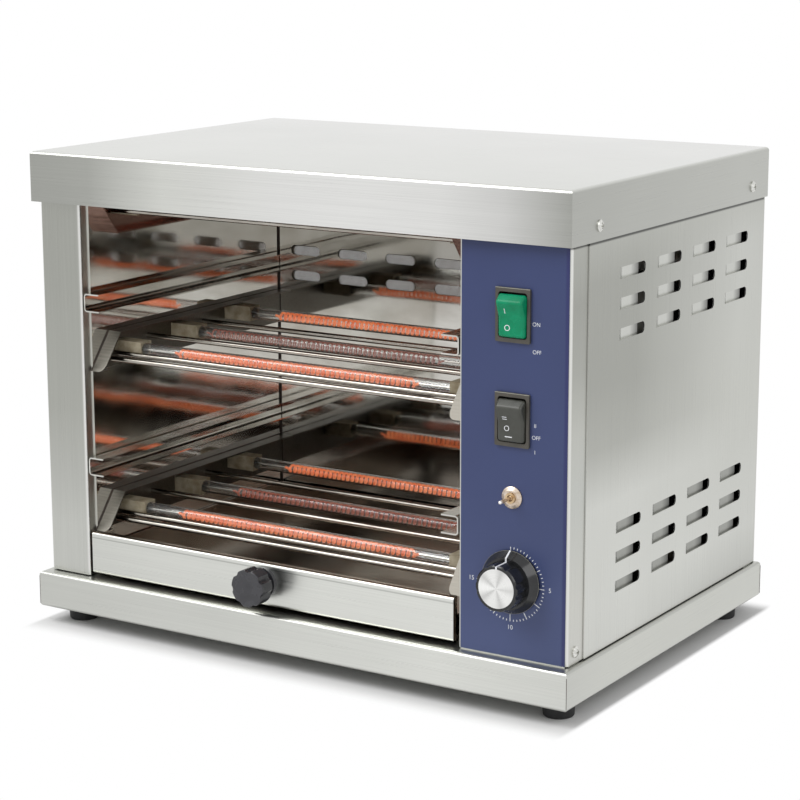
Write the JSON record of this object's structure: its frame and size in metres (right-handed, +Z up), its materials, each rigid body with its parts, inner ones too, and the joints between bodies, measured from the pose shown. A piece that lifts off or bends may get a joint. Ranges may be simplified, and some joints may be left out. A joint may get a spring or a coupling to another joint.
{
  "type": "horizontal bar toaster",
  "caption": "Two-deck countertop bar toaster in brushed stainless steel with quartz heating tubes, a blue control front, a timer knob and a pull-out crumb tray.",
  "frame": {"origin": "middle of the footprint, on the surface that the feet stand on", "axes": "+Z up, -Y out of the front opening, +X towards the control front"},
  "size_m": [0.4318, 0.3224, 0.341],
  "materials": {
    "brushed_stainless": "brushed satin stainless sheet",
    "polished_stainless": "mirror polished stainless sheet, heat tinted",
    "bright_rod": "bright drawn rod",
    "blue_lacquer": "satin screen printed lacquer",
    "zinc_screw": "bright zinc plate",
    "black_rubber": "moulded matt rubber",
    "quartz_glass": "clear drawn quartz",
    "hot_wire": "resistance wire glowing orange",
    "steatite": "unglazed beige ceramic",
    "brass": "turned brass",
    "black_plastic": "moulded thermoset, satin gloss",
    "green_plastic": "translucent moulded plastic",
    "nickel": "nickel plate",
    "spun_aluminium": "spun face"
  },
  "bodies": {
    "case": {"base_tray": "brushed_stainless", "lid": "brushed_stainless", "left_cover": "brushed_stainless", "right_cover": "brushed_stainless", "rear_angle": "brushed_stainless", "rear_panel": "brushed_stainless", "control_panel": "brushed_stainless", "tray_runners": "brushed_stainless", "left_wall": "polished_stainless", "right_wall": "polished_stainless", "back_wall": "polished_stainless", "ceiling": "polished_stainless", "rack_guide_upper_left": "polished_stainless", "rack_guide_upper_right": "polished_stainless", "rack_guide_lower_left": "polished_stainless", "rack_guide_lower_right": "polished_stainless", "bracket_bottom_left": "polished_stainless", "bracket_bottom_right": "polished_stainless", "bracket_middle_left": "polished_stainless", "bracket_middle_right": "polished_stainless", "bracket_top_left": "polished_stainless", "bracket_top_right": "polished_stainless", "guard_rods_bottom": "bright_rod", "guard_rods_middle": "bright_rod", "guard_rods_top": "bright_rod", "control_fascia": "blue_lacquer", "foot_screws": "zinc_screw", "lid_screws": "zinc_screw", "case_screws": "zinc_screw", "foot_front_left": "black_rubber", "foot_front_right": "black_rubber", "foot_back_left": "black_rubber", "foot_back_right": "black_rubber", "wiring_loom": "black_rubber", "quartz_tubes_bottom": "quartz_glass", "quartz_tubes_middle": "quartz_glass", "quartz_tubes_top": "quartz_glass", "heating_coils_bottom": "hot_wire", "heating_coils_middle": "hot_wire", "heating_coils_top": "hot_wire", "ceramic_ends_bottom": "steatite", "ceramic_ends_middle": "steatite", "ceramic_ends_top": "steatite", "terminal_block": "steatite", "element_terminals": "brass", "toggle_nut": "brass", "toggle_housing": "brass", "main_switch_housing": "black_plastic", "deck_switch_housing": "black_plastic", "timer_case": "black_plastic", "cable_gland": "black_plastic"},
    "crumb_drawer": {"crumb_tray": "brushed_stainless", "tray_knob": "black_plastic", "tray_knob_nut": "brass"},
    "main_rocker": {"main_rocker": "green_plastic"},
    "deck_rocker": {"deck_rocker": "black_plastic"},
    "toggle_lever": {"toggle_lever": "nickel"},
    "timer_knob": {"timer_shaft": "brass", "timer_knob": "black_plastic", "timer_knob_cap": "spun_aluminium"}
  },
  "joints": [
    {"name": "crumb_drawer_slide", "type": "slide", "parent": "case", "child": "crumb_drawer", "axis": [0, -1, 0], "range_m": [0, 0.2]},
    {"name": "main_rocker_hinge", "type": "hinge", "parent": "case", "child": "main_rocker", "pos_m": [0.1705, -0.13975, 0.2604], "axis": [-1, 0, 0], "range_deg": [0, 22]},
    {"name": "deck_rocker_hinge", "type": "hinge", "parent": "case", "child": "deck_rocker", "pos_m": [0.1705, -0.13975, 0.1941], "axis": [-1, 0, 0], "range_deg": [0, 22]},
    {"name": "toggle_hinge", "type": "hinge", "parent": "case", "child": "toggle_lever", "pos_m": [0.1705, -0.14275, 0.144], "axis": [1, 0, 0], "range_deg": [-12, 12]},
    {"name": "timer_turn", "type": "hinge", "parent": "case", "child": "timer_knob", "pos_m": [0.1705, -0.15125, 0.089], "axis": [0, 1, 0], "range_deg": [0, 270]}
  ]
}
